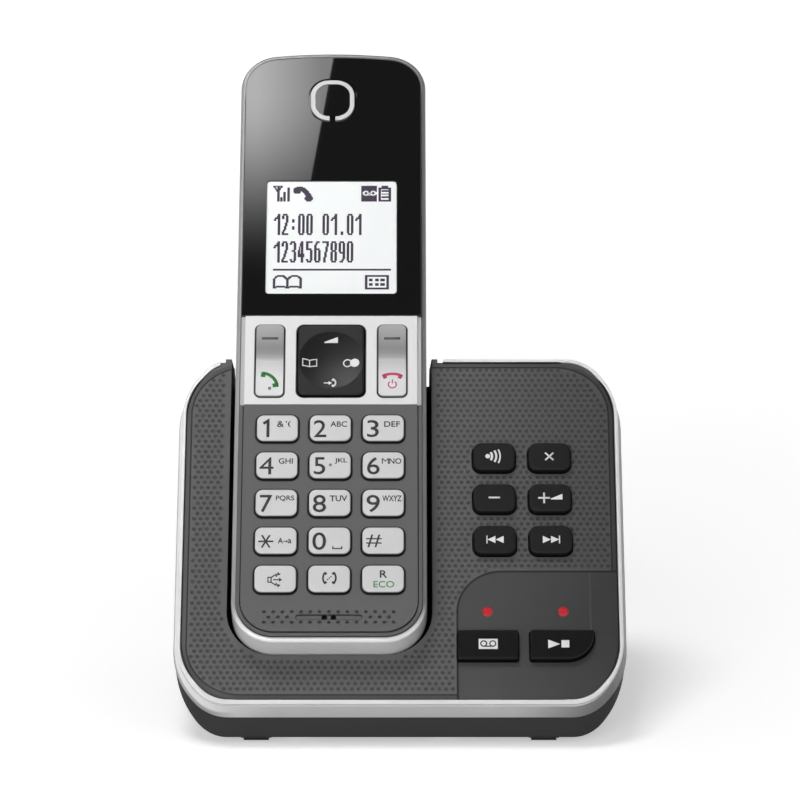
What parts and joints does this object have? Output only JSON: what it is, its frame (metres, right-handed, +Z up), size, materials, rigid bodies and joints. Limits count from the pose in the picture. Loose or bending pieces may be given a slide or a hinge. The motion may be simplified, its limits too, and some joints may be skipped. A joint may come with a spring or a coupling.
{
  "type": "answering machine",
  "caption": "Desktop answering machine: a wedge base with keys, lamps and sockets, and a cordless handset with display and keypad that lifts out of its charging cradle.",
  "frame": {"origin": "on the table, under the middle of the whole machine with the handset in its cradle", "axes": "+X to the right as the user faces the keys, +Y to the back, away from the user, +Z up"},
  "size_m": [0.1118, 0.1296, 0.1523],
  "materials": {
    "cover_grey": "fine texture with a printed dot pattern",
    "panel_grey": "smooth, satin",
    "trim_silver": "silver paint, satin",
    "housing_grey": "fine texture",
    "cradle_black": "fine texture",
    "board_green": "solder mask",
    "mat_rubber": "moulded silicone",
    "speaker_steel": "pressed",
    "contact_steel": "nickel plated",
    "socket_black": "moulded",
    "foot_rubber": "matt",
    "screw_steel": "zinc plated",
    "lamp_red": "clear red",
    "key_silver": "silver paint, satin",
    "key_black": "smooth, satin",
    "front_grey": "grey paint, satin",
    "frame_silver": "silver paint, gloss",
    "back_black": "fine texture",
    "window_black": "polished",
    "plate_silver": "silver paint, satin",
    "lcd_glass": "polarised, backlit",
    "ring_silver": "polished",
    "cell_green": "printed sleeve"
  },
  "bodies": {
    "base": {"base_lower_housing": "housing_grey", "base_top_cover": "cover_grey", "control_panel": "panel_grey", "trim_ring": "trim_silver", "cradle_insert": "cradle_black", "base_circuit_board": "board_green", "base_key_mat": "mat_rubber", "base_speaker": "speaker_steel", "base_charge_contacts": "contact_steel", "dc_jack": "socket_black", "line_jack": "socket_black", "rubber_feet": "foot_rubber", "base_screws": "screw_steel", "answer_lamp": "lamp_red", "message_lamp": "lamp_red"},
    "locator_key": {"locator_key": "key_black"},
    "erase_key": {"erase_key": "key_black"},
    "volume_down_key": {"volume_down_key": "key_black"},
    "volume_up_key": {"volume_up_key": "key_black"},
    "previous_key": {"previous_key": "key_black"},
    "next_key": {"next_key": "key_black"},
    "answer_on_key": {"answer_on_key": "key_black"},
    "play_stop_key": {"play_stop_key": "key_black"},
    "handset": {"handset_back_case": "back_black", "handset_front_case": "front_grey", "handset_side_frame": "frame_silver", "display_window": "window_black", "navigation_panel": "plate_silver", "lcd_module": "lcd_glass", "earpiece_ring": "ring_silver", "earpiece_receiver": "speaker_steel", "handset_key_mat": "mat_rubber", "handset_circuit_board": "board_green", "battery_cells": "cell_green", "battery_contacts": "contact_steel", "handset_charge_contacts": "contact_steel", "handset_microphone": "socket_black", "handset_loudspeaker": "speaker_steel", "handset_screws": "screw_steel"},
    "battery_cover": {"battery_cover": "back_black"},
    "nav_pivot_pad": {"nav_pivot_pad": "mat_rubber"},
    "nav_key": {"nav_key": "key_black"},
    "talk_key": {"talk_key": "key_silver"},
    "off_key": {"off_key": "key_silver"},
    "key_1": {"key_1": "key_silver"},
    "key_2": {"key_2": "key_silver"},
    "key_3": {"key_3": "key_silver"},
    "key_4": {"key_4": "key_silver"},
    "key_5": {"key_5": "key_silver"},
    "key_6": {"key_6": "key_silver"},
    "key_7": {"key_7": "key_silver"},
    "key_8": {"key_8": "key_silver"},
    "key_9": {"key_9": "key_silver"},
    "key_star": {"key_star": "key_silver"},
    "key_0": {"key_0": "key_silver"},
    "key_hash": {"key_hash": "key_silver"},
    "key_speaker": {"key_speaker": "key_silver"},
    "key_intercom": {"key_intercom": "key_silver"},
    "key_recall": {"key_recall": "key_silver"}
  },
  "joints": [
    {"name": "handset_lift", "type": "slide", "parent": "base", "child": "handset", "axis": [0, 0.6613, 0.7501], "range_m": [0, 0.09]},
    {"name": "locator_key_press", "type": "slide", "parent": "base", "child": "locator_key", "axis": [0, 0.7501, -0.6613], "range_m": [0, 0.0007], "stiffness_N_per_m": 400},
    {"name": "erase_key_press", "type": "slide", "parent": "base", "child": "erase_key", "axis": [0, 0.7501, -0.6613], "range_m": [0, 0.0007], "stiffness_N_per_m": 400},
    {"name": "volume_down_key_press", "type": "slide", "parent": "base", "child": "volume_down_key", "axis": [0, 0.7501, -0.6613], "range_m": [0, 0.0007], "stiffness_N_per_m": 400},
    {"name": "volume_up_key_press", "type": "slide", "parent": "base", "child": "volume_up_key", "axis": [0, 0.7501, -0.6613], "range_m": [0, 0.0007], "stiffness_N_per_m": 400},
    {"name": "previous_key_press", "type": "slide", "parent": "base", "child": "previous_key", "axis": [0, 0.7501, -0.6613], "range_m": [0, 0.0007], "stiffness_N_per_m": 400},
    {"name": "next_key_press", "type": "slide", "parent": "base", "child": "next_key", "axis": [0, 0.7501, -0.6613], "range_m": [0, 0.0007], "stiffness_N_per_m": 400},
    {"name": "answer_on_key_press", "type": "slide", "parent": "base", "child": "answer_on_key", "axis": [0, 0.7501, -0.6613], "range_m": [0, 0.0007], "stiffness_N_per_m": 400},
    {"name": "play_stop_key_press", "type": "slide", "parent": "base", "child": "play_stop_key", "axis": [0, 0.7501, -0.6613], "range_m": [0, 0.0007], "stiffness_N_per_m": 400},
    {"name": "talk_key_press", "type": "slide", "parent": "handset", "child": "talk_key", "axis": [0, 0.7501, -0.6613], "range_m": [0, 0.0005], "stiffness_N_per_m": 400},
    {"name": "off_key_press", "type": "slide", "parent": "handset", "child": "off_key", "axis": [0, 0.7501, -0.6613], "range_m": [0, 0.0005], "stiffness_N_per_m": 400},
    {"name": "key_1_press", "type": "slide", "parent": "handset", "child": "key_1", "axis": [0, 0.7501, -0.6613], "range_m": [0, 0.0005], "stiffness_N_per_m": 400},
    {"name": "key_2_press", "type": "slide", "parent": "handset", "child": "key_2", "axis": [0, 0.7501, -0.6613], "range_m": [0, 0.0005], "stiffness_N_per_m": 400},
    {"name": "key_3_press", "type": "slide", "parent": "handset", "child": "key_3", "axis": [0, 0.7501, -0.6613], "range_m": [0, 0.0005], "stiffness_N_per_m": 400},
    {"name": "key_4_press", "type": "slide", "parent": "handset", "child": "key_4", "axis": [0, 0.7501, -0.6613], "range_m": [0, 0.0005], "stiffness_N_per_m": 400},
    {"name": "key_5_press", "type": "slide", "parent": "handset", "child": "key_5", "axis": [0, 0.7501, -0.6613], "range_m": [0, 0.0005], "stiffness_N_per_m": 400},
    {"name": "key_6_press", "type": "slide", "parent": "handset", "child": "key_6", "axis": [0, 0.7501, -0.6613], "range_m": [0, 0.0005], "stiffness_N_per_m": 400},
    {"name": "key_7_press", "type": "slide", "parent": "handset", "child": "key_7", "axis": [0, 0.7501, -0.6613], "range_m": [0, 0.0005], "stiffness_N_per_m": 400},
    {"name": "key_8_press", "type": "slide", "parent": "handset", "child": "key_8", "axis": [0, 0.7501, -0.6613], "range_m": [0, 0.0005], "stiffness_N_per_m": 400},
    {"name": "key_9_press", "type": "slide", "parent": "handset", "child": "key_9", "axis": [0, 0.7501, -0.6613], "range_m": [0, 0.0005], "stiffness_N_per_m": 400},
    {"name": "key_star_press", "type": "slide", "parent": "handset", "child": "key_star", "axis": [0, 0.7501, -0.6613], "range_m": [0, 0.0005], "stiffness_N_per_m": 400},
    {"name": "key_0_press", "type": "slide", "parent": "handset", "child": "key_0", "axis": [0, 0.7501, -0.6613], "range_m": [0, 0.0005], "stiffness_N_per_m": 400},
    {"name": "key_hash_press", "type": "slide", "parent": "handset", "child": "key_hash", "axis": [0, 0.7501, -0.6613], "range_m": [0, 0.0005], "stiffness_N_per_m": 400},
    {"name": "key_speaker_press", "type": "slide", "parent": "handset", "child": "key_speaker", "axis": [0, 0.7501, -0.6613], "range_m": [0, 0.0005], "stiffness_N_per_m": 400},
    {"name": "key_intercom_press", "type": "slide", "parent": "handset", "child": "key_intercom", "axis": [0, 0.7501, -0.6613], "range_m": [0, 0.0005], "stiffness_N_per_m": 400},
    {"name": "key_recall_press", "type": "slide", "parent": "handset", "child": "key_recall", "axis": [0, 0.7501, -0.6613], "range_m": [0, 0.0005], "stiffness_N_per_m": 400},
    {"name": "nav_tip_up_down", "type": "hinge", "parent": "handset", "child": "nav_pivot_pad", "pos_m": [-0.01735, -0.00819, 0.08185], "axis": [1, 0, 0], "range_deg": [-3, 3], "stiffness_Nm_per_rad": 0.05},
    {"name": "nav_tip_left_right", "type": "hinge", "parent": "nav_pivot_pad", "child": "nav_key", "pos_m": [-0.01735, -0.00819, 0.08185], "axis": [0, 0.6613, 0.7501], "range_deg": [-3, 3], "stiffness_Nm_per_rad": 0.05},
    {"name": "battery_cover_slide", "type": "slide", "parent": "handset", "child": "battery_cover", "axis": [0, -0.6613, -0.7501], "range_m": [0, 0.005]}
  ]
}
